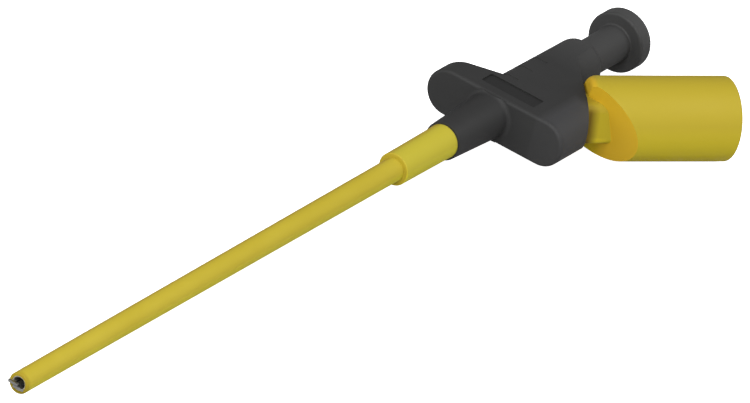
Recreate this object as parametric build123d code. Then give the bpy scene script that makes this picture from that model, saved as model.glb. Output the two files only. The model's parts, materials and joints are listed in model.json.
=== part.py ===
from build123d import *
import os
from math import cos, radians, sin, tan

# Clamp-type safety test probe with a 4 mm safety socket. Millimetres.
# The origin is the centre of the shaft's nose, +X runs back along the shaft
# to the push button, +Z is up through the flat side of the handle, and the
# socket leaves the handle backwards and towards -Y.

# Clearances
RUNNING = 0.05
STOP_GAP = 0.1
LAYER_GAP = 0.03

# Insulating shaft sleeve
SHAFT_LENGTH = 96.35
SHAFT_NOSE_R = 1.63
SHAFT_ROOT_R = 1.81
NOSE_EDGE_ROUND = 0.25
COLLAR_LENGTH = 13.15
COLLAR_FRONT_R = 2.51
COLLAR_REAR_R = 2.62
COLLAR_EDGE_ROUND = 0.18
COLLAR_SEAT_DEPTH = 1.0
SPIGOT_R = 2.1
SPIGOT_LENGTH = 7.0

# Metal tube inside the sleeve
TUBE_R = 1.14
TUBE_WALL = 0.15
TUBE_SETBACK = 0.12

# Front bush, which carries the tube, the spring and the socket's stem
BUSH_LENGTH = 9.6
BUSH_TUBE_DEPTH = 3.0
BUSH_HEAD_R = 2.6
BUSH_HEAD_LENGTH = 1.3
BUSH_CHAMFER = 0.2

# Rod and what is fixed to it
ROD_R = 0.75
STOP_COLLAR_LENGTH = 0.9
FERRULE_R = 1.35
FERRULE_LENGTH = 9.5
FERRULE_LIP_R = 1.75
FERRULE_LIP_LENGTH = 0.5

# Grip at the tip
STROKE = 7.0
PIVOT_X = 5.0
PIVOT_PIN_R = 0.2
CARRIER_LENGTH = 6.0
CARRIER_SLOT_REACH = 1.15
CLAW_THICKNESS = 0.36
CLAW_EYE_R = 0.5
CLAW_ARM_OUTER = 0.62
CLAW_ARM_WIDTH = 0.3
CLAW_REACH = 0.85
CLAW_HOOK_WIDTH = 0.4
CLAW_HEAD_REACH = 1.15
CLAW_HOOK_OVERLAP = 0.35
CLAW_TOOTH = 0.2

# Handle moulding
NECK_MOUTH_R = 2.93
NECK_ROOT_R = 3.45
NECK_LENGTH = 12.17
NECK_ROOT_FILLET = 0.7
HANDLE_HALF_HEIGHT = 3.66
LEFT_WING_REACH = 10.92
RIGHT_WING_REACH = 12.97
LEFT_WING_THICKNESS = 3.0
LEFT_WING_SLANT = 20.5
WING_EDGE_ROUND = 0.5
BARREL_FRONT_R = 4.25
BARREL_REAR_R = 3.99
BARREL_LENGTH = 25.25
BARREL_END_ROUND = 1.1
GRIP_GROOVES = 3
GRIP_GROOVE_FIRST = 6.4
GRIP_GROOVE_PITCH = 3.95
GRIP_GROOVE_WIDTH = 0.9
GRIP_GROOVE_DEPTH = 0.08
PANEL_LENGTH = 9.25
PANEL_WIDTH = 2.7
PANEL_SETBACK = 2.1
PANEL_SHIFT = 1.2
PANEL_DEPTH = 0.22
PANEL_CORNER = 0.35

# Push button
BUTTON_STEM_R = 2.79
BUTTON_STEM_INSIDE = 5.5
BUTTON_TRAVEL_MARGIN = 2.25
KNOB_R = 4.72
KNOB_THICKNESS = 2.78
KNOB_EDGE_ROUND = 0.45
KNOB_FRONT_ROUND = 0.4
KNOB_ROOT_FILLET = 0.3
KNOB_DISH = 0.25
STEM_TIP_CHAMFER = 0.3

# Return spring
WASHER_THICKNESS = 0.4
SPRING_R = 1.95
SPRING_WIRE_R = 0.22
SPRING_TURNS = 8
SPRING_WIRE_SIDES = 8

# Socket for the lead
SOCKET_ANGLE = 35.25
SOCKET_PIVOT_SETBACK = 1.43
SOCKET_SEAT_TILT = 14.0
SOCKET_SEAT = 15.77
SOCKET_LENGTH = 23.13
SOCKET_R = 6.27
SOCKET_NECK_THICKNESS = 4.6
SOCKET_NECK_CORNER = 1.3
SOCKET_NECK_STEP = 0.4
SOCKET_NECK_HEIGHT = 6.0
SOCKET_CUT_ANGLE = 38.8
SOCKET_CUT_TURN = 24.0
SOCKET_CUT_START = 2.03
SOCKET_EDGE_ROUND = 0.25
SOCKET_BASE_ROUND = 1.2
SHROUD_BORE_R = 4.15
SHROUD_FLOOR = 6.5
SHROUD_MOUTH_CHAMFER = 0.35
SOCKET_SPIGOT_R = 2.0
SOCKET_SPIGOT_DEPTH = 1.5
INSULATOR_R = 3.1
INSULATOR_SETBACK = 0.6
CONTACT_R = 2.65
CONTACT_BORE_R = 2.0
CONTACT_BASE = 1.2
CONTACT_SETBACK = 0.9
CONTACT_MOUTH_CHAMFER = 0.2
CONTACT_SLOT_WIDTH = 0.4
CONTACT_SLOT_LENGTH = 9.0
STEM_R = 1.5
LOCK_WASHER_R = 2.4
LOCK_WASHER_THICKNESS = 0.5

# Places along the shaft, worked out from the sizes above
NECK_MOUTH_X = SHAFT_LENGTH + COLLAR_LENGTH
COLLAR_END_X = NECK_MOUTH_X + COLLAR_SEAT_DEPTH
SPIGOT_END_X = COLLAR_END_X + SPIGOT_LENGTH
FLANGE_X = NECK_MOUTH_X + NECK_LENGTH
HANDLE_END_X = FLANGE_X + BARREL_LENGTH
BUSH_REAR_X = SPIGOT_END_X + BUSH_LENGTH
TUBE_END_X = SPIGOT_END_X + BUSH_TUBE_DEPTH
SPRING_SEAT_X = BUSH_REAR_X + WASHER_THICKNESS
STEM_FRONT_X = HANDLE_END_X - BUTTON_STEM_INSIDE
KNOB_FRONT_X = HANDLE_END_X + STROKE + BUTTON_TRAVEL_MARGIN
KNOB_REAR_X = KNOB_FRONT_X + KNOB_THICKNESS
ROD_END_X = STEM_FRONT_X + FERRULE_LENGTH
CARRIER_END_X = PIVOT_X + CARRIER_LENGTH

TUBE_BORE_R = TUBE_R - TUBE_WALL
CARRIER_R = TUBE_BORE_R - RUNNING
ROD_HOLE_R = ROD_R + RUNNING
BUTTON_BORE_R = BUTTON_STEM_R + RUNNING
CLAW_SLOT_HALF = CLAW_THICKNESS + 2 * LAYER_GAP

# The socket's own frame: its z runs out along the socket from the point where
# its axis meets the shaft's, and its x points away from the handle's barrel
SOCKET_FRAME = Plane(
    origin=(FLANGE_X - SOCKET_PIVOT_SETBACK, 0, 0),
    x_dir=(-sin(radians(SOCKET_ANGLE)), -cos(radians(SOCKET_ANGLE)), 0),
    z_dir=(cos(radians(SOCKET_ANGLE)), -sin(radians(SOCKET_ANGLE)), 0),
)
SOCKET_END = SOCKET_SEAT + SOCKET_LENGTH
SHROUD_FLOOR_END = SOCKET_SEAT + SHROUD_FLOOR
STEM_END = SHROUD_FLOOR_END + LOCK_WASHER_THICKNESS + CONTACT_BASE


def along_x(start, end, radius):
    """A round bar on the shaft's axis."""
    bar = Cylinder(radius, end - start, align=(Align.CENTER, Align.CENTER, Align.MIN))
    return Pos(start, 0, 0) * Rot(0, 90, 0) * bar


def along_socket(start, end, radius):
    """A round bar on the socket's axis, in the socket's own frame."""
    bar = Cylinder(radius, end - start, align=(Align.CENTER, Align.CENTER, Align.MIN))
    return Pos(0, 0, start) * bar


def turned(*edges):
    """The solid that a profile above the X axis sweeps in a full turn."""
    return revolve(make_face(list(edges)), axis=Axis.X)


def make_sleeve():
    """Long moulded sleeve: round nose, drafted shaft, collar and spigot."""
    nose_face_r = SHAFT_NOSE_R - NOSE_EDGE_ROUND
    shoulder = COLLAR_FRONT_R - COLLAR_EDGE_ROUND
    collar_top = SHAFT_LENGTH + COLLAR_EDGE_ROUND
    return turned(
        Line((0, TUBE_R), (0, nose_face_r)),
        RadiusArc((0, nose_face_r), (NOSE_EDGE_ROUND, SHAFT_NOSE_R), NOSE_EDGE_ROUND),
        Line((NOSE_EDGE_ROUND, SHAFT_NOSE_R), (SHAFT_LENGTH, SHAFT_ROOT_R)),
        Line((SHAFT_LENGTH, SHAFT_ROOT_R), (SHAFT_LENGTH, shoulder)),
        RadiusArc((SHAFT_LENGTH, shoulder), (collar_top, COLLAR_FRONT_R), COLLAR_EDGE_ROUND),
        Line((collar_top, COLLAR_FRONT_R), (NECK_MOUTH_X, COLLAR_REAR_R)),
        Line((NECK_MOUTH_X, COLLAR_REAR_R), (COLLAR_END_X, COLLAR_REAR_R)),
        Line((COLLAR_END_X, COLLAR_REAR_R), (COLLAR_END_X, SPIGOT_R)),
        Line((COLLAR_END_X, SPIGOT_R), (SPIGOT_END_X, SPIGOT_R)),
        Line((SPIGOT_END_X, SPIGOT_R), (SPIGOT_END_X, TUBE_R)),
        Line((SPIGOT_END_X, TUBE_R), (0, TUBE_R)),
    )


def make_shaft_tube():
    """Thin metal tube that lines the sleeve and guides the grip."""
    return along_x(TUBE_SETBACK, TUBE_END_X, TUBE_R) - along_x(0, TUBE_END_X, TUBE_BORE_R)


def make_front_bush():
    """Turned bush behind the sleeve: tube socket in front, spring seat behind."""
    bush = along_x(SPIGOT_END_X, BUSH_REAR_X, SPIGOT_R)
    bush += along_x(BUSH_REAR_X - BUSH_HEAD_LENGTH, BUSH_REAR_X, BUSH_HEAD_R)
    rear_rim = bush.faces().sort_by(Axis.X)[-1].edges()
    bush = chamfer(rear_rim, BUSH_CHAMFER)
    bush -= along_x(SPIGOT_END_X, TUBE_END_X, TUBE_R)
    return bush - along_x(TUBE_END_X, BUSH_REAR_X, ROD_HOLE_R)


def make_spring_washer():
    """Flat washer between the bush and the return spring."""
    return along_x(BUSH_REAR_X, SPRING_SEAT_X, BUSH_HEAD_R) - along_x(
        BUSH_REAR_X, SPRING_SEAT_X, ROD_HOLE_R
    )


def stadium_prism(start, end):
    """The handle's rounded section across both wings, drawn out along X."""
    middle = (LEFT_WING_REACH - RIGHT_WING_REACH) / 2
    section = SlotOverall(LEFT_WING_REACH + RIGHT_WING_REACH, 2 * HANDLE_HALF_HEIGHT)
    return Pos(start, middle, 0) * extrude(Plane.YZ * section, end - start)


def make_wings():
    """Finger wings: slanted back on the left, square to the socket on the right."""
    reach = LEFT_WING_REACH + RIGHT_WING_REACH
    slant = tan(radians(LEFT_WING_SLANT))
    left_tip_x = FLANGE_X + LEFT_WING_THICKNESS
    seat = SOCKET_FRAME.origin + SOCKET_FRAME.z_dir * SOCKET_SEAT
    seat_slope = tan(radians(SOCKET_ANGLE + SOCKET_SEAT_TILT))
    seat_on_axis = seat.X - seat.Y * seat_slope
    plan = Polygon(
        (FLANGE_X, reach),
        (left_tip_x + (LEFT_WING_REACH - reach) * slant, reach),
        (left_tip_x + LEFT_WING_REACH * slant, 0),
        (seat_on_axis, 0),
        (seat_on_axis - reach * seat_slope, -reach),
        (FLANGE_X, -reach),
        align=None,
    )
    wings = stadium_prism(FLANGE_X, HANDLE_END_X) & extrude(
        plan, HANDLE_HALF_HEIGHT, both=True
    )
    front_edges = wings.faces().sort_by(Axis.X)[0].edges()
    return fillet(front_edges, WING_EDGE_ROUND)


def make_neck():
    """Round neck that flares into the front of the wings."""
    flare_x = FLANGE_X - NECK_ROOT_FILLET
    flare_r = NECK_ROOT_R + NECK_ROOT_FILLET
    neck = turned(
        Line((NECK_MOUTH_X, 0), (NECK_MOUTH_X, NECK_MOUTH_R)),
        Line((NECK_MOUTH_X, NECK_MOUTH_R), (flare_x, NECK_ROOT_R)),
        RadiusArc((flare_x, NECK_ROOT_R), (FLANGE_X, flare_r), -NECK_ROOT_FILLET),
        Line((FLANGE_X, flare_r), (FLANGE_X + WING_EDGE_ROUND, flare_r)),
        Line((FLANGE_X + WING_EDGE_ROUND, flare_r), (FLANGE_X + WING_EDGE_ROUND, 0)),
        Line((FLANGE_X + WING_EDGE_ROUND, 0), (NECK_MOUTH_X, 0)),
    )
    slab = Pos(FLANGE_X, 0, 0) * Box(
        2 * NECK_LENGTH, 4 * NECK_ROOT_R, 2 * HANDLE_HALF_HEIGHT - WING_EDGE_ROUND / 2
    )
    return neck & slab


def barrel_form(inset):
    """Drafted round barrel with a rounded end and flats above and below."""
    end_x = HANDLE_END_X
    round_x = end_x - BARREL_END_ROUND
    barrel = turned(
        Line((FLANGE_X + WING_EDGE_ROUND, 0), (FLANGE_X + WING_EDGE_ROUND, BARREL_FRONT_R - inset)),
        Line(
            (FLANGE_X + WING_EDGE_ROUND, BARREL_FRONT_R - inset),
            (round_x, BARREL_REAR_R - inset),
        ),
        RadiusArc(
            (round_x, BARREL_REAR_R - inset),
            (end_x, BARREL_REAR_R - BARREL_END_ROUND - inset),
            BARREL_END_ROUND,
        ),
        Line((end_x, BARREL_REAR_R - BARREL_END_ROUND - inset), (end_x, 0)),
        Line((end_x, 0), (FLANGE_X + WING_EDGE_ROUND, 0)),
    )
    slab = Pos(FLANGE_X, 0, 0) * Box(
        2 * BARREL_LENGTH,
        2 * BARREL_FRONT_R,
        2 * (HANDLE_HALF_HEIGHT - inset),
    )
    return barrel & slab


def grip_groove(place):
    """Shallow groove round the barrel, as deep on its flats as on its sides."""
    band = Pos(place, 0, 0) * Box(
        GRIP_GROOVE_WIDTH, 4 * BARREL_FRONT_R, 4 * BARREL_FRONT_R
    )
    return (band & barrel_form(-GRIP_GROOVE_DEPTH)) - barrel_form(GRIP_GROOVE_DEPTH)


def bare_panel():
    """Shallow bare recess in the top of the wings."""
    outline = RectangleRounded(PANEL_WIDTH, PANEL_LENGTH, PANEL_CORNER)
    centre_x = FLANGE_X + PANEL_SETBACK + PANEL_WIDTH / 2
    floor = Pos(centre_x, -PANEL_SHIFT, HANDLE_HALF_HEIGHT - PANEL_DEPTH)
    return floor * extrude(outline, 2 * PANEL_DEPTH)


def make_handle_body():
    """Handle moulding, bored for the sleeve, the bush, the button and the socket."""
    body = make_neck() + make_wings() + barrel_form(0)
    for number in range(GRIP_GROOVES):
        place = FLANGE_X + GRIP_GROOVE_FIRST + number * GRIP_GROOVE_PITCH
        left_side = Pos(place, HANDLE_END_X / 2, 0) * Box(
            GRIP_GROOVE_PITCH, HANDLE_END_X, HANDLE_END_X
        )
        body -= grip_groove(place) & left_side
    body -= bare_panel()
    body -= along_x(NECK_MOUTH_X, COLLAR_END_X, COLLAR_REAR_R)
    body -= along_x(COLLAR_END_X, BUSH_REAR_X, SPIGOT_R)
    body -= along_x(BUSH_REAR_X - BUSH_HEAD_LENGTH, BUSH_REAR_X, BUSH_HEAD_R)
    body -= along_x(BUSH_REAR_X, HANDLE_END_X, BUTTON_BORE_R)
    body -= SOCKET_FRAME * along_socket(0, SOCKET_SEAT, STEM_R)
    spigot_floor = SOCKET_SEAT - SOCKET_SPIGOT_DEPTH
    return body - SOCKET_FRAME * along_socket(spigot_floor, SHROUD_FLOOR_END, SOCKET_SPIGOT_R)


def make_push_button():
    """Thumb button: dished knob on a round stem, blended at its root."""
    root_x = KNOB_FRONT_X - KNOB_ROOT_FILLET
    root_r = BUTTON_STEM_R + KNOB_ROOT_FILLET
    front_edge = (KNOB_FRONT_X, KNOB_R - KNOB_FRONT_ROUND)
    front_rim = (KNOB_FRONT_X + KNOB_FRONT_ROUND, KNOB_R)
    rear_rim = (KNOB_REAR_X - KNOB_EDGE_ROUND, KNOB_R)
    rear_edge = (KNOB_REAR_X, KNOB_R - KNOB_EDGE_ROUND)
    dish_reach = KNOB_R - KNOB_EDGE_ROUND
    dish_r = (dish_reach**2 + KNOB_DISH**2) / (2 * KNOB_DISH)
    button = turned(
        Line((STEM_FRONT_X, 0), (STEM_FRONT_X, BUTTON_STEM_R - STEM_TIP_CHAMFER)),
        Line(
            (STEM_FRONT_X, BUTTON_STEM_R - STEM_TIP_CHAMFER),
            (STEM_FRONT_X + STEM_TIP_CHAMFER, BUTTON_STEM_R),
        ),
        Line((STEM_FRONT_X + STEM_TIP_CHAMFER, BUTTON_STEM_R), (root_x, BUTTON_STEM_R)),
        RadiusArc((root_x, BUTTON_STEM_R), (KNOB_FRONT_X, root_r), -KNOB_ROOT_FILLET),
        Line((KNOB_FRONT_X, root_r), front_edge),
        RadiusArc(front_edge, front_rim, KNOB_FRONT_ROUND),
        Line(front_rim, rear_rim),
        RadiusArc(rear_rim, rear_edge, KNOB_EDGE_ROUND),
        RadiusArc(rear_edge, (KNOB_REAR_X - KNOB_DISH, 0), -dish_r),
        Line((KNOB_REAR_X - KNOB_DISH, 0), (STEM_FRONT_X, 0)),
    )
    lip_end = STEM_FRONT_X + FERRULE_LIP_LENGTH
    button -= along_x(STEM_FRONT_X, lip_end, FERRULE_LIP_R)
    return button - along_x(lip_end, ROD_END_X, FERRULE_R)


def make_rod_ferrule():
    """Metal ferrule crimped on the rod and pressed into the button."""
    ferrule = along_x(STEM_FRONT_X, ROD_END_X, FERRULE_R)
    ferrule += along_x(STEM_FRONT_X, STEM_FRONT_X + FERRULE_LIP_LENGTH, FERRULE_LIP_R)
    return ferrule - along_x(STEM_FRONT_X, ROD_END_X, ROD_R)


def make_contact_rod():
    """Long rod from the grip's carrier to the button."""
    return along_x(CARRIER_END_X, ROD_END_X, ROD_R)


def make_stop_collar():
    """Collar on the rod that meets the bush and ends the return stroke."""
    rear = TUBE_END_X - STOP_GAP
    return along_x(rear - STOP_COLLAR_LENGTH, rear, CARRIER_R) - along_x(
        rear - STOP_COLLAR_LENGTH, rear, ROD_R
    )


def make_jaw_carrier():
    """Forked head on the rod, open in front for the two claws."""
    front = PIVOT_X - CARRIER_SLOT_REACH / 2
    carrier = along_x(front, CARRIER_END_X, CARRIER_R)
    slot_end = PIVOT_X + CARRIER_SLOT_REACH
    slot = Pos((front + slot_end) / 2, 0, 0) * Box(
        slot_end - front, 4 * CARRIER_R, 2 * CLAW_SLOT_HALF
    )
    pin_hole = Pos(PIVOT_X, 0, 0) * Cylinder(PIVOT_PIN_R, 4 * CARRIER_R)
    return carrier - slot - pin_hole


def make_pivot_pin():
    """Cross pin of the claws, domed off at the carrier's own radius."""
    pin = Pos(PIVOT_X, 0, 0) * Cylinder(PIVOT_PIN_R, 4 * CARRIER_R)
    return pin & along_x(PIVOT_X - CARRIER_R, PIVOT_X + CARRIER_R, CARRIER_R)


def claw_plan():
    """Plan of one claw: eye, arm down one side and a toothed head across the tip."""
    outer = CLAW_ARM_OUTER
    inner = CLAW_ARM_OUTER - CLAW_ARM_WIDTH
    hook_back = -CLAW_REACH + CLAW_HOOK_WIDTH
    hook_tip = -CLAW_HOOK_OVERLAP
    arm = Polygon(
        (PIVOT_X, outer),
        (hook_back, outer),
        (hook_back, CLAW_HEAD_REACH),
        (-CLAW_REACH, CLAW_HEAD_REACH),
        (-CLAW_REACH, hook_tip),
        (hook_back + CLAW_TOOTH, hook_tip),
        (hook_back, hook_tip + CLAW_TOOTH),
        (hook_back, inner),
        (PIVOT_X - CLAW_EYE_R, inner),
        (PIVOT_X - CLAW_EYE_R, 0),
        (PIVOT_X, 0),
        align=None,
    )
    eye_bore = PIVOT_PIN_R + RUNNING / 2
    eye_field = Pos(PIVOT_X, 0) * Circle(CLAW_ARM_OUTER)
    head_end = Pos(-CLAW_REACH + CLAW_HOOK_WIDTH / 2, CLAW_HEAD_REACH) * Circle(CLAW_HOOK_WIDTH / 2)
    return arm + eye_field + head_end - Pos(PIVOT_X, 0) * Circle(eye_bore)


def make_claw(side):
    """One stamped claw; side is +1 for the upper plate and -1 for the lower."""
    plate = extrude(claw_plan(), CLAW_THICKNESS)
    plate = Pos(0, 0, LAYER_GAP) * plate
    return plate if side > 0 else Rot(180, 0, 0) * plate


def make_return_spring():
    """Open coil spring between the washer and the button's stem."""
    start = SPRING_SEAT_X + SPRING_WIRE_R
    length = STEM_FRONT_X - SPRING_WIRE_R - start
    path = Helix(length / SPRING_TURNS, length, SPRING_R, (start, 0, 0), (1, 0, 0))
    section = Plane(origin=path @ 0, z_dir=path % 0) * RegularPolygon(SPRING_WIRE_R, SPRING_WIRE_SIDES)
    return sweep(section, path=path)


def seat_plane(lift):
    """The handle's seat for the socket, lifted off it, in the socket's own frame."""
    slope = tan(radians(SOCKET_SEAT_TILT))
    return Plane(origin=(0, 0, SOCKET_SEAT + lift), x_dir=(1, 0, -slope), z_dir=(slope, 0, 1))


def make_shroud():
    """Round shroud, its root cut along the seat and slantwise on the far side."""
    cut_slope = tan(radians(SOCKET_CUT_ANGLE))
    out_x = cos(radians(SOCKET_CUT_TURN))
    out_y = sin(radians(SOCKET_CUT_TURN))
    slant = Plane(
        origin=(0, 0, SOCKET_SEAT + SOCKET_CUT_START),
        x_dir=(out_x, out_y, cut_slope),
        z_dir=(-cut_slope * out_x, -cut_slope * out_y, 1),
    )
    shroud = along_socket(SOCKET_SEAT - SOCKET_R, SOCKET_END, SOCKET_R)
    shroud = split(shroud, bisect_by=seat_plane(SOCKET_NECK_STEP), keep=Keep.TOP)
    seat_rim = shroud.edges().sort_by(Axis.Z)[0]
    shroud = fillet(seat_rim, SOCKET_BASE_ROUND)
    shroud = split(shroud, bisect_by=slant, keep=Keep.TOP)
    return fillet(shroud.faces().sort_by(Axis.Z)[-1].edges(), SOCKET_EDGE_ROUND)


def make_socket_housing():
    """Yellow socket moulding: shroud, flat-sided neck on the handle's seat, and spigot."""
    spigot_start = SOCKET_SEAT - SOCKET_SPIGOT_DEPTH
    neck_width = 2 * (HANDLE_HALF_HEIGHT - WING_EDGE_ROUND / 2)
    outline = RectangleRounded(SOCKET_NECK_THICKNESS, neck_width, SOCKET_NECK_CORNER)
    neck = Pos(0, 0, spigot_start) * extrude(outline, SOCKET_SPIGOT_DEPTH + SOCKET_NECK_HEIGHT)
    neck = split(neck, bisect_by=seat_plane(0), keep=Keep.TOP)
    spigot = along_socket(spigot_start, SHROUD_FLOOR_END, SOCKET_SPIGOT_R)
    housing = make_shroud() + neck + spigot
    housing -= along_socket(SHROUD_FLOOR_END, SOCKET_END, SHROUD_BORE_R)
    mouth = housing.faces().sort_by(Axis.Z)[-1].edges().sort_by(SortBy.RADIUS)[0]
    housing = chamfer(mouth, SHROUD_MOUTH_CHAMFER)
    return SOCKET_FRAME * (housing - along_socket(spigot_start, SHROUD_FLOOR_END, STEM_R))


def make_lock_washer():
    """Washer that the contact clamps on the shroud's floor."""
    end = SHROUD_FLOOR_END + LOCK_WASHER_THICKNESS
    washer = along_socket(SHROUD_FLOOR_END, end, LOCK_WASHER_R)
    return SOCKET_FRAME * (washer - along_socket(SHROUD_FLOOR_END, end, STEM_R))


def make_contact_tube():
    """Socket contact: a slotted 4 mm tube with a bored base."""
    start = SHROUD_FLOOR_END + LOCK_WASHER_THICKNESS
    end = SOCKET_END - CONTACT_SETBACK
    tube = along_socket(start, end, CONTACT_R)
    tube -= along_socket(start, STEM_END, STEM_R)
    tube -= along_socket(STEM_END, end, CONTACT_BORE_R)
    mouth = tube.faces().sort_by(Axis.Z)[-1].edges().sort_by(SortBy.RADIUS)[0]
    tube = chamfer(mouth, CONTACT_MOUTH_CHAMFER)
    slot = Pos(0, 0, end) * Box(CONTACT_SLOT_WIDTH, 4 * CONTACT_R, 2 * CONTACT_SLOT_LENGTH)
    return SOCKET_FRAME * (tube - slot)


def make_socket_insulator():
    """Insulating tube over the contact, inside the shroud's annular gap."""
    start = SHROUD_FLOOR_END + LOCK_WASHER_THICKNESS
    end = SOCKET_END - INSULATOR_SETBACK
    return SOCKET_FRAME * (
        along_socket(start, end, INSULATOR_R) - along_socket(start, end, CONTACT_R)
    )


def make_socket_stem():
    """Metal stem from the bush to the contact, its inner end seated on the bush."""
    stem = SOCKET_FRAME * along_socket(0, STEM_END, STEM_R)
    stem -= along_x(SPIGOT_END_X, BUSH_REAR_X, SPIGOT_R)
    return stem - along_x(BUSH_REAR_X - BUSH_HEAD_LENGTH, BUSH_REAR_X, BUSH_HEAD_R)


def main():
    parts = {
        "sleeve": make_sleeve(),
        "shaft_tube": make_shaft_tube(),
        "front_bush": make_front_bush(),
        "spring_washer": make_spring_washer(),
        "handle_body": make_handle_body(),
        "push_button": make_push_button(),
        "rod_ferrule": make_rod_ferrule(),
        "contact_rod": make_contact_rod(),
        "stop_collar": make_stop_collar(),
        "jaw_carrier": make_jaw_carrier(),
        "pivot_pin": make_pivot_pin(),
        "claw_upper": make_claw(1),
        "claw_lower": make_claw(-1),
        "return_spring": make_return_spring(),
        "socket_housing": make_socket_housing(),
        "lock_washer": make_lock_washer(),
        "contact_tube": make_contact_tube(),
        "socket_insulator": make_socket_insulator(),
        "socket_stem": make_socket_stem(),
    }
    os.makedirs("parts", exist_ok=True)
    for name, solid in parts.items():
        export_step(solid, f"parts/{name}.step")


main()
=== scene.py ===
import json
from math import cos, pi, sin

import bpy
from mathutils import Matrix, Vector

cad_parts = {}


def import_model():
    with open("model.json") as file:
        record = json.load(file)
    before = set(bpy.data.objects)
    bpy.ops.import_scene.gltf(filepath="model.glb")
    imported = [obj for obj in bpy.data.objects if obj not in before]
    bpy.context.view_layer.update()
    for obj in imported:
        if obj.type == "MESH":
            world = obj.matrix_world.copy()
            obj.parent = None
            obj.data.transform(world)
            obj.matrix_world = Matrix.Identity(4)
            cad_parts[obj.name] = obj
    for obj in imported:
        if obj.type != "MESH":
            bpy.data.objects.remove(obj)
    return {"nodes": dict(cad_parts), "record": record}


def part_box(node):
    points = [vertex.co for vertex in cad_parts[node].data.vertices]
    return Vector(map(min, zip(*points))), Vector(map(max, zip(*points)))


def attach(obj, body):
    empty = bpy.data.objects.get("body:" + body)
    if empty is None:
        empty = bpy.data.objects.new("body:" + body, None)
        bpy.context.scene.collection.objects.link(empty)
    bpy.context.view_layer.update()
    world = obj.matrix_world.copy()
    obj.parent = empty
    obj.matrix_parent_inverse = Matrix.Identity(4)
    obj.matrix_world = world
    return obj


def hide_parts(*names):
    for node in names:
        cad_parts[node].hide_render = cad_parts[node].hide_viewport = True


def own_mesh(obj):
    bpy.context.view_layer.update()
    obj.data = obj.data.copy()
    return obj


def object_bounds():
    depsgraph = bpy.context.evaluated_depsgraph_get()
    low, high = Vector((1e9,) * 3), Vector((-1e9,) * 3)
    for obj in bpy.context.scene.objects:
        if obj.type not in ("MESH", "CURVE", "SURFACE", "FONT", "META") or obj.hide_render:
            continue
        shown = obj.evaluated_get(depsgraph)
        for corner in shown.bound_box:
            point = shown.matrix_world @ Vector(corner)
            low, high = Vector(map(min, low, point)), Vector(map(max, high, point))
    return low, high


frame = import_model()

cad_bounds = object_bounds()

MM = 0.001

# Camera: the photograph's view, nearly parallel, rolled so that the shaft climbs to the right
VIEW_RIGHT = Vector((0.5434, -0.81012, 0.22002))
VIEW_UP = Vector((0.3115, 0.43795, 0.84326))
VIEW_BACK = Vector((-0.77954, -0.38966, 0.49033))
LOOK_AT = Vector((40.687, -26.383, 28.843)) * MM
CAMERA_LENS = 840.0
CAMERA_DISTANCE = 2450.0 * MM
SENSOR_WIDTH = 36.0
CLIP_NEAR = 0.01
CLIP_FAR = 20.0

# Floor and light
FLOOR_SIZE = 6.0
FLOOR_SEEN = 0.86
FLOOR_BOUNCE = 0.4
FLOOR_ROUGH = 0.9
WORLD_LIGHT = 0.18
LAMP_DISTANCE = 0.8
LAMP_SIZE = 0.6
KEY_SIZE = 0.5

# Directions: back along the shaft, to the socket's side, and down
SHAFT = Vector((1.0, 0.0, 0.0))
SOCKET_SIDE = Vector((0.0, -1.0, 0.0))
DOWN = Vector((0.0, 0.0, -1.0))

# Fixed directions of the part, read off the photograph's camera: towards the picture's lower edge,
# and square to the shaft towards the picture's upper left. They don't turn with another view
LOWER_FACES = Vector((-0.3115, -0.43795, -0.84326))
UPPER_FACES = Vector((0.0, 0.783, 0.622))

# From the socket's root back to the handle, away from it and a little up, and the reach at which
# the neck comes in sight in the photograph
ROOT_NORMAL = Vector((-0.8166, 0.5771, 0.0))
SOCKET_AWAY = Vector((0.8166, -0.5771, 0.12))
NECK_IN_SIGHT = 114.14 * MM

# The tints below copy light and shade of the photograph into the plastics' colours, fixed to the part.
# The plain colours are BLACK_LIGHT, BLACK_DARK, YELLOW_LIGHT and YELLOW_DARK

# Black tints, painted light on the barrel's end, push button and right wing's end: where each sets in and is
# full, and its tone
BLACK_LIGHT = (0.034, 0.034, 0.034)
BLACK_DARK = (0.028, 0.028, 0.028)
STEM_FADE = (137.5 * MM, 147.5 * MM)
STEM_TONE = (0.052, 0.052, 0.052)
KNOB_FACE_FADE = (155.4 * MM, 156.2 * MM)
KNOB_FACE_TONE = (0.044, 0.044, 0.044)
KNOB_RIM_FADE = (156.3 * MM, 156.8 * MM)
KNOB_RIM_TONE = (0.060, 0.060, 0.060)
WING_END_CENTRE = Vector((126.8, -11.3, 0.0)) * MM
WING_END_HALF = Vector((4.0, 2.2, 4.0)) * MM
WING_END_FADE = 1.6 * MM
WING_END_TONE = (0.046, 0.046, 0.048)

# Bare panel in the top of the wings, with painted shade on its floor and along its front edge
PANEL_CENTRE = Vector((125.12, -1.2, 3.6)) * MM
PANEL_HALF = Vector((1.35, 4.62, 0.4)) * MM
PANEL_FADE = 0.1 * MM
PANEL_TONE = (0.021, 0.021, 0.021)
PANEL_EDGE_CENTRE = Vector((123.90, -1.2, 3.6)) * MM
PANEL_EDGE_HALF = Vector((0.12, 4.5, 0.4)) * MM
PANEL_EDGE_FADE = 0.15 * MM
PANEL_EDGE_TONE = (0.008, 0.008, 0.008)

# Yellow tints on places, painted light on the collar and painted shade on the socket and nose: where each sets
# in and is full, and its tone
YELLOW_LIGHT = (0.49, 0.39, 0.036)
YELLOW_DARK = (0.46, 0.36, 0.028)
COLLAR_FADE = (96.2 * MM, 96.8 * MM)
COLLAR_TONE = (0.485, 0.415, 0.038)
SOCKET_FADE = (6.0 * MM, 9.5 * MM)
SOCKET_TONE = (0.435, 0.335, 0.027)
OFF_SHAFT_FADE = (4.5 * MM, 5.5 * MM)
NOSE_FADE = (0.1 * MM, 0.7 * MM)
NOSE_TONE = (0.36, 0.265, 0.018)
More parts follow.
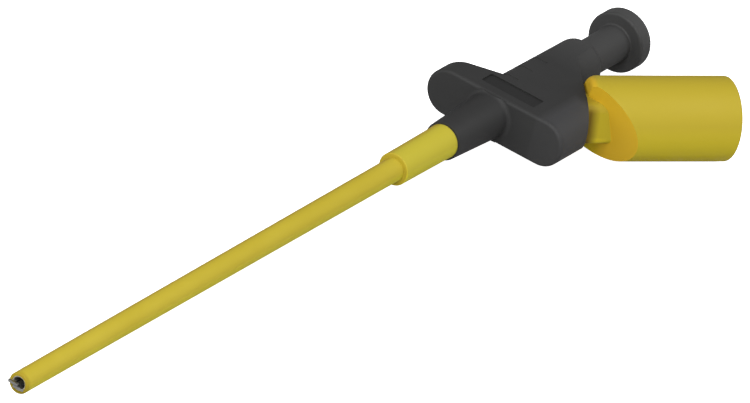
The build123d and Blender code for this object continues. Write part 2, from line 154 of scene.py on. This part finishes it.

# Painted light on the root's underside and painted shadow along the seat: depths below the axis, reaches past
# sight
ROOT_TIP_DEPTHS = (1.8 * MM, 3.0 * MM)
ROOT_TIP_REACHES = (1.6 * MM, 3.6 * MM)
ROOT_TIP_TONE = (0.86, 0.70, 0.030)
SEAT_SHADOW_DEPTHS = (-4.2 * MM, -2.4 * MM)
SEAT_SHADOW_REACHES = (0.3 * MM, 1.8 * MM)
SEAT_SHADOW_TONE = (0.17, 0.11, 0.009)

# Yellow tints on faces, painted light on the lower faces and the socket's root and painted shade on the upper
# edge and the shoulder: how square a face has to be, from none to full, and its tone
SHAFT_LOWER_TURN = (0.15, 0.85)
SHAFT_LOWER_TONE = (0.67, 0.61, 0.022)
SOCKET_LOWER_TURN = (0.2, 0.85)
SOCKET_LOWER_TONE = (0.57, 0.46, 0.018)
UPPER_TURN = (0.78, 1.0)
UPPER_TONE = (0.41, 0.285, 0.026)
SHOULDER_TURN = (0.35, 0.85)
SHOULDER_TONE = (0.44, 0.335, 0.026)
ROOT_TURN = (0.35, 0.75)
ROOT_TONE = (0.66, 0.415, 0.022)

# Plastic surface: sizes of clouds, speckle and flow marks, and how much each shows
CLOUD_SCALE = 90.0
SPECKLE_SCALE = 1900.0
SPECKLE_SHARE = 0.12
FLOW_SCALE = 260.0
FLOW_ROUGHNESS = 0.06
FLOW_STRENGTH = 0.12
GRAIN_STRENGTH = 0.35
PLASTIC_IOR = 1.5

# Metal surface: tool lines and tarnish
TOOL_LINE_SCALE = 900.0
TOOL_LINE_ROUGHNESS = 0.08
TOOL_LINE_STRENGTH = 0.25
TOOL_LINE_DEPTH = 0.01 * MM
TARNISH_SCALE = 420.0

# Middle range of a noise, which holds most of its values
NOISE_LOW = 0.3
NOISE_HIGH = 0.7

# Round spring wire inside the handle
SPRING_TURNS = 8
SPRING_WIRE_R = 0.22 * MM
SPRING_STEPS = 28
SPRING_WIRE_STEPS = 4


def node_material(name):
    """An empty material with its node tree and its shader."""
    material = bpy.data.materials.new(name)
    material.use_nodes = True
    tree = material.node_tree
    return material, tree, tree.nodes["Principled BSDF"]


def place_texture(tree, stretch=(1.0, 1.0, 1.0)):
    """Object coordinates, stretched along the axes, as a texture's input."""
    coords = tree.nodes.new("ShaderNodeTexCoord")
    mapping = tree.nodes.new("ShaderNodeMapping")
    mapping.inputs["Scale"].default_value = stretch
    tree.links.new(coords.outputs["Object"], mapping.inputs["Vector"])
    return mapping.outputs["Vector"]


def noise(tree, vector, scale, detail=3.0, roughness=0.5):
    """Fractal noise at a place of the texture's space."""
    texture = tree.nodes.new("ShaderNodeTexNoise")
    texture.inputs["Scale"].default_value = scale
    texture.inputs["Detail"].default_value = detail
    texture.inputs["Roughness"].default_value = roughness
    tree.links.new(vector, texture.inputs["Vector"])
    return texture.outputs["Fac"]


def fade(tree, value, start, end, first=0.0, last=1.0):
    """Runs from first to last while the value goes from start to end."""
    ramp = tree.nodes.new("ShaderNodeMapRange")
    ramp.inputs["From Min"].default_value = start
    ramp.inputs["From Max"].default_value = end
    ramp.inputs["To Min"].default_value = first
    ramp.inputs["To Max"].default_value = last
    tree.links.new(value, ramp.inputs["Value"])
    return ramp.outputs["Result"]


def spread(tree, value, low, high):
    """A noise's middle range, spread from low to high."""
    return fade(tree, value, NOISE_LOW, NOISE_HIGH, low, high)


def mix_colours(tree, fac, first, second):
    """Between two plain colours."""
    mix = tree.nodes.new("ShaderNodeMix")
    mix.data_type = "RGBA"
    mix.inputs["A"].default_value = (*first, 1.0)
    mix.inputs["B"].default_value = (*second, 1.0)
    tree.links.new(fac, mix.inputs["Factor"])
    return mix.outputs["Result"]


def blend_colour(tree, fac, under, tint):
    """Lays a tint over a colour that the nodes have already made."""
    mix = tree.nodes.new("ShaderNodeMix")
    mix.data_type = "RGBA"
    mix.inputs["B"].default_value = (*tint, 1.0)
    tree.links.new(under, mix.inputs["A"])
    tree.links.new(fac, mix.inputs["Factor"])
    return mix.outputs["Result"]


def lay_tints(tree, colour, tints):
    """Lays each tint over the colour where its mask is one."""
    for mask, tint in tints:
        colour = blend_colour(tree, mask, colour, tint)
    return colour


def bump(tree, shader, height, strength, distance):
    """Adds a bump over whatever normal the shader already has."""
    node = tree.nodes.new("ShaderNodeBump")
    node.inputs["Strength"].default_value = strength
    node.inputs["Distance"].default_value = distance
    tree.links.new(height, node.inputs["Height"])
    links = shader.inputs["Normal"].links
    if links:
        tree.links.new(links[0].from_socket, node.inputs["Normal"])
    tree.links.new(node.outputs["Normal"], shader.inputs["Normal"])


def arithmetic(tree, operation, first, second):
    """One number from two."""
    node = tree.nodes.new("ShaderNodeMath")
    node.operation = operation
    tree.links.new(first, node.inputs[0])
    tree.links.new(second, node.inputs[1])
    return node.outputs["Value"]


def reach_along(tree, coordinate, direction):
    """How far the surface's place, or its own normal, reaches along the direction."""
    coords = tree.nodes.new("ShaderNodeTexCoord")
    dot = tree.nodes.new("ShaderNodeVectorMath")
    dot.operation = "DOT_PRODUCT"
    dot.inputs[1].default_value = direction
    tree.links.new(coords.outputs[coordinate], dot.inputs[0])
    return dot.outputs["Value"]


def faces_towards(tree, direction, turn):
    """Mask of the faces whose own normal lies near the direction."""
    return fade(tree, reach_along(tree, "Normal", direction), *turn)


def beyond(tree, direction, places):
    """Mask that sets in at the first place along the direction and is full past the second."""
    return fade(tree, reach_along(tree, "Object", direction), *places)


def before(tree, direction, places):
    """Mask that is full up to the first place along the direction and ends at the second."""
    return fade(tree, reach_along(tree, "Object", direction), *places, first=1.0, last=0.0)


def inside_box(tree, centre, half, fade_width):
    """Mask of a box of the object's space, fading to none past its faces."""
    vector = tree.nodes.new("ShaderNodeTexCoord").outputs["Object"]
    for operation, value in (("SUBTRACT", centre), ("ABSOLUTE", None), ("SUBTRACT", half)):
        step = tree.nodes.new("ShaderNodeVectorMath")
        step.operation = operation
        tree.links.new(vector, step.inputs[0])
        if value is not None:
            step.inputs[1].default_value = value
        vector = step.outputs["Vector"]
    split = tree.nodes.new("ShaderNodeSeparateXYZ")
    tree.links.new(vector, split.inputs["Vector"])
    outside = split.outputs["X"]
    for axis in ("Y", "Z"):
        outside = arithmetic(tree, "MAXIMUM", outside, split.outputs[axis])
    return fade(tree, outside, 0.0, fade_width, first=1.0, last=0.0)


def on_socket(tree, mask):
    """The mask where the place belongs to the socket, none on the shaft."""
    off_shaft = beyond(tree, SOCKET_SIDE, OFF_SHAFT_FADE)
    return arithmetic(tree, "MULTIPLY", mask, off_shaft)


def near_seat(tree, depths, reaches):
    """Mask of the socket's places below a height and close to the handle's seat."""
    low = beyond(tree, DOWN, depths)
    places = [NECK_IN_SIGHT + reach for reach in reaches]
    close = before(tree, SOCKET_AWAY, places)
    return on_socket(tree, arithmetic(tree, "MULTIPLY", low, close))


def paint_black_light_and_shade(tree, colour):
    """Painted light on the right wing's end and push button, painted shade in the bare panel."""
    return lay_tints(tree, colour, (
        (inside_box(tree, WING_END_CENTRE, WING_END_HALF, WING_END_FADE), WING_END_TONE),
        (beyond(tree, SHAFT, STEM_FADE), STEM_TONE),
        (beyond(tree, SHAFT, KNOB_FACE_FADE), KNOB_FACE_TONE),
        (beyond(tree, SHAFT, KNOB_RIM_FADE), KNOB_RIM_TONE),
        (inside_box(tree, PANEL_CENTRE, PANEL_HALF, PANEL_FADE), PANEL_TONE),
        (inside_box(tree, PANEL_EDGE_CENTRE, PANEL_EDGE_HALF, PANEL_EDGE_FADE), PANEL_EDGE_TONE),
    ))


def paint_yellow_light_and_shade(tree, colour):
    """Painted light and shade: lower faces, upper edge, socket, nose, root, shoulder and the seat's shadow."""
    return lay_tints(tree, colour, (
        (beyond(tree, SHAFT, COLLAR_FADE), COLLAR_TONE),
        (faces_towards(tree, LOWER_FACES, SHAFT_LOWER_TURN), SHAFT_LOWER_TONE),
        (beyond(tree, SOCKET_SIDE, SOCKET_FADE), SOCKET_TONE),
        (on_socket(tree, faces_towards(tree, LOWER_FACES, SOCKET_LOWER_TURN)), SOCKET_LOWER_TONE),
        (faces_towards(tree, UPPER_FACES, UPPER_TURN), UPPER_TONE),
        (faces_towards(tree, ROOT_NORMAL, SHOULDER_TURN), SHOULDER_TONE),
        (on_socket(tree, faces_towards(tree, ROOT_NORMAL, ROOT_TURN)), ROOT_TONE),
        (near_seat(tree, ROOT_TIP_DEPTHS, ROOT_TIP_REACHES), ROOT_TIP_TONE),
        (near_seat(tree, SEAT_SHADOW_DEPTHS, SEAT_SHADOW_REACHES), SEAT_SHADOW_TONE),
        (before(tree, SHAFT, NOSE_FADE), NOSE_TONE),
    ))


def moulded_plastic(name, light, dark, tint, rough, sheen, grain_scale, grain_depth, streaks):
    """Moulded plastic: mottled colour with painted light and shade laid over it, fine eroded grain, faint flow
    streaks.
    """
    material, tree, shader = node_material(name)
    evenly = place_texture(tree)
    along = place_texture(tree, streaks)
    clouds = noise(tree, evenly, CLOUD_SCALE, detail=4.0)
    speckle = noise(tree, evenly, SPECKLE_SCALE, detail=2.0, roughness=0.7)
    colour = mix_colours(tree, spread(tree, clouds, 0.0, 1.0), dark, light)
    colour = blend_colour(tree, spread(tree, speckle, 0.0, SPECKLE_SHARE), colour, dark)
    tree.links.new(tint(tree, colour), shader.inputs["Base Color"])
    flow = noise(tree, along, FLOW_SCALE)
    roughness = spread(tree, flow, rough - FLOW_ROUGHNESS, rough + FLOW_ROUGHNESS)
    tree.links.new(roughness, shader.inputs["Roughness"])
    grain = noise(tree, evenly, grain_scale, detail=2.0, roughness=0.6)
    bump(tree, shader, grain, GRAIN_STRENGTH, grain_depth)
    bump(tree, shader, flow, FLOW_STRENGTH, grain_depth * 2.0)
    shader.inputs["IOR"].default_value = PLASTIC_IOR
    shader.inputs["Specular IOR Level"].default_value = sheen
    return material


def worked_metal(name, light, dark, rough, turning):
    """Turned or drawn metal with fine tool lines and slight tarnish."""
    material, tree, shader = node_material(name)
    lines = noise(tree, place_texture(tree, turning), TOOL_LINE_SCALE, roughness=0.6)
    tarnish = noise(tree, place_texture(tree), TARNISH_SCALE, detail=4.0)
    colour = mix_colours(tree, spread(tree, tarnish, 0.0, 1.0), dark, light)
    tree.links.new(colour, shader.inputs["Base Color"])
    roughness = spread(tree, lines, rough - TOOL_LINE_ROUGHNESS, rough + TOOL_LINE_ROUGHNESS)
    tree.links.new(roughness, shader.inputs["Roughness"])
    bump(tree, shader, lines, TOOL_LINE_STRENGTH, TOOL_LINE_DEPTH)
    shader.inputs["Metallic"].default_value = 1.0
    return material


def make_materials():
    """One finished material for each slot of the record."""
    return {
        "black_moulding": moulded_plastic(
            "black_moulding", BLACK_LIGHT, BLACK_DARK, paint_black_light_and_shade, rough=0.58, sheen=0.24,
            grain_scale=5200.0, grain_depth=0.02 * MM, streaks=(0.25, 1.0, 1.0),
        ),
        "yellow_moulding": moulded_plastic(
            "yellow_moulding", YELLOW_LIGHT, YELLOW_DARK, paint_yellow_light_and_shade, rough=0.52, sheen=0.16,
            grain_scale=3600.0, grain_depth=0.012 * MM, streaks=(0.12, 1.0, 1.0),
        ),
        "nickelled_brass": worked_metal(
            "nickelled_brass", light=(0.66, 0.63, 0.55), dark=(0.5, 0.47, 0.4), rough=0.3,
            turning=(6.0, 1.0, 1.0),
        ),
        "nickel_silver": worked_metal(
            "nickel_silver", light=(0.86, 0.84, 0.77), dark=(0.76, 0.74, 0.67), rough=0.4,
            turning=(0.2, 1.0, 1.0),
        ),
        "spring_steel": worked_metal(
            "spring_steel", light=(0.46, 0.46, 0.46), dark=(0.33, 0.33, 0.33), rough=0.32,
            turning=(0.3, 1.0, 1.0),
        ),
    }


def dress_nodes(materials):
    """Gives every node of the frame the material of its slot."""
    slots = {row["node"]: row["material_slot"] for row in frame["record"]["subparts"]}
    for name, node in frame["nodes"].items():
        for slot in node.material_slots:
            slot.material = materials[slots[name]]


def coil_mesh(start, length, coil_r):
    """Mesh of a round wire, coiled along the shaft from start."""
    curve = bpy.data.curves.new("return_spring_coil", "CURVE")
    curve.dimensions = "3D"
    curve.bevel_depth = SPRING_WIRE_R
    curve.bevel_resolution = SPRING_WIRE_STEPS
    curve.use_fill_caps = True
    steps = SPRING_TURNS * SPRING_STEPS
    spline = curve.splines.new("POLY")
    spline.points.add(steps)
    for step in range(steps + 1):
        turn = 2 * pi * step / SPRING_STEPS
        spline.points[step].co = (
            start + length * step / steps, coil_r * cos(turn), coil_r * sin(turn), 1.0,
        )
    wire = bpy.data.objects.new("return_spring_coil", curve)
    bpy.context.collection.objects.link(wire)
    graph = bpy.context.evaluated_depsgraph_get()
    mesh = bpy.data.meshes.new_from_object(wire.evaluated_get(graph))
    bpy.data.objects.remove(wire)
    return mesh


def make_spring(material):
    """Round-wire spring between its seats in the return spring's place, attached to the probe body."""
    low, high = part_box("return_spring")
    coil_r = (high[1] - low[1]) / 2 - SPRING_WIRE_R
    length = high[0] - low[0]
    mesh = coil_mesh(low[0] + SPRING_WIRE_R, length - 2 * SPRING_WIRE_R, coil_r)
    mesh.materials.clear()
    mesh.materials.append(material)
    spring = bpy.data.objects.new("coil_spring", mesh)
    bpy.context.collection.objects.link(spring)
    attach(spring, "probe_body")
    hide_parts("return_spring")
    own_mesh(spring)


def make_floor():
    """Pale floor, lifted to white for the camera and quieter where it lights the part."""
    floor_level = cad_bounds[0][2]
    bpy.ops.mesh.primitive_plane_add(size=FLOOR_SIZE, location=(LOOK_AT.x, LOOK_AT.y, floor_level))
    floor = bpy.context.object
    floor.name = "floor"
    material, tree, shader = node_material("pale_floor")
    shader.inputs["Roughness"].default_value = FLOOR_ROUGH
    seen = tree.nodes.new("ShaderNodeLightPath").outputs["Is Camera Ray"]
    glow = tree.nodes.new("ShaderNodeEmission")
    both = tree.nodes.new("ShaderNodeAddShader")
    tone = fade(tree, seen, 0.0, 1.0, FLOOR_BOUNCE, FLOOR_SEEN)
    tree.links.new(tone, shader.inputs["Base Color"])
    tree.links.new(seen, glow.inputs["Strength"])
    tree.links.new(shader.outputs["BSDF"], both.inputs[0])
    tree.links.new(glow.outputs["Emission"], both.inputs[1])
    tree.links.new(both.outputs["Shader"], tree.nodes["Material Output"].inputs["Surface"])
    floor.data.materials.append(material)


def make_world():
    """White to the eye, a plain soft light to everything else."""
    world = bpy.data.worlds.new("studio")
    bpy.context.scene.world = world
    world.use_nodes = True
    tree = world.node_tree
    background = tree.nodes["Background"]
    background.inputs["Color"].default_value = (1.0, 1.0, 1.0, 1.0)
    seen = tree.nodes.new("ShaderNodeLightPath").outputs["Is Camera Ray"]
    tree.links.new(fade(tree, seen, 0.0, 1.0, WORLD_LIGHT, 1.0), background.inputs["Strength"])


def add_lamp(name, direction, size, power):
    """Soft square lamp that shines on the part from the given direction."""
    lamp = bpy.data.lights.new(name, "AREA")
    lamp.size = size
    lamp.energy = power
    holder = bpy.data.objects.new(name, lamp)
    away = direction.normalized()
    holder.location = LOOK_AT + away * LAMP_DISTANCE
    holder.rotation_euler = away.to_track_quat("Z", "Y").to_euler()
    bpy.context.collection.objects.link(holder)


def light_part():
    """Key light from the camera's side, one lamp at each side and a low one."""
    add_lamp("key_light", VIEW_BACK + 0.35 * VIEW_UP, KEY_SIZE, power=6.0)
    add_lamp("right_light", VIEW_RIGHT + 0.6 * VIEW_UP + 0.4 * VIEW_BACK, LAMP_SIZE, power=3.0)
    add_lamp("left_light", -VIEW_RIGHT + 0.5 * VIEW_UP + 0.6 * VIEW_BACK, LAMP_SIZE, power=2.6)
    add_lamp("low_light", VIEW_BACK - 0.9 * VIEW_UP + 0.3 * VIEW_RIGHT, LAMP_SIZE, power=2.1)


def aim_camera():
    """Long lens at the photograph's viewing angle."""
    data = bpy.data.cameras.new("camera")
    data.sensor_width = SENSOR_WIDTH
    data.lens = CAMERA_LENS
    data.clip_start = CLIP_NEAR
    data.clip_end = CLIP_FAR
    camera = bpy.data.objects.new("camera", data)
    turn = Matrix((VIEW_RIGHT, VIEW_UP, VIEW_BACK)).transposed()
    place = Matrix.Translation(LOOK_AT + VIEW_BACK * CAMERA_DISTANCE)
    camera.matrix_world = place @ turn.to_4x4()
    bpy.context.collection.objects.link(camera)
    bpy.context.scene.camera = camera


materials = make_materials()
dress_nodes(materials)
make_spring(materials["spring_steel"])
make_floor()
make_world()
light_part()
aim_camera()
bpy.context.scene.view_settings.view_transform = "Standard"
